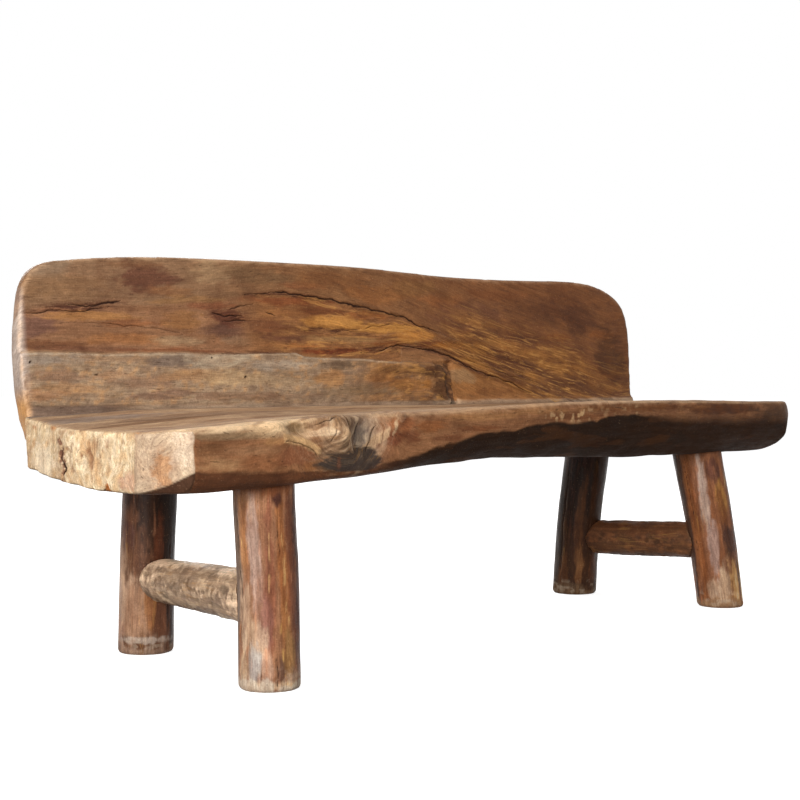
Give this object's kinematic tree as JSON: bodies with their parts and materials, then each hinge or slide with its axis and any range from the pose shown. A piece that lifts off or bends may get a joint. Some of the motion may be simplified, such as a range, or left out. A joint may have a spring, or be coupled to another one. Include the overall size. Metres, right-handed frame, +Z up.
{
  "type": "bench",
  "caption": "Rustic log bench with a hewn plank seat and back, carried on round log legs joined in pairs by cross rails.",
  "frame": {"origin": "on the floor under the middle of the bench's bounding box", "axes": "+X along the seat towards the sitter's left hand, +Y from the front edge towards the back slab, +Z up; the sitter faces -Y"},
  "size_m": [1.7863, 0.647, 0.742],
  "materials": {
    "seat_wood": "waxed, worn satin",
    "back_wood": "waxed, worn satin",
    "leg_wood": "waxed, worn satin",
    "rail_wood": "waxed, worn satin",
    "peg_wood": "dry, sawn"
  },
  "bodies": {
    "root": {"seat_slab": "seat_wood", "back_slab": "back_wood", "back_pegs": "peg_wood", "leg_front_left": "leg_wood", "leg_front_right": "leg_wood", "leg_rear_left": "leg_wood", "leg_rear_right": "leg_wood", "leg_wedges": "peg_wood", "stretcher_left": "rail_wood", "stretcher_right": "rail_wood", "stretcher_wedges": "peg_wood"}
  },
  "joints": []
}
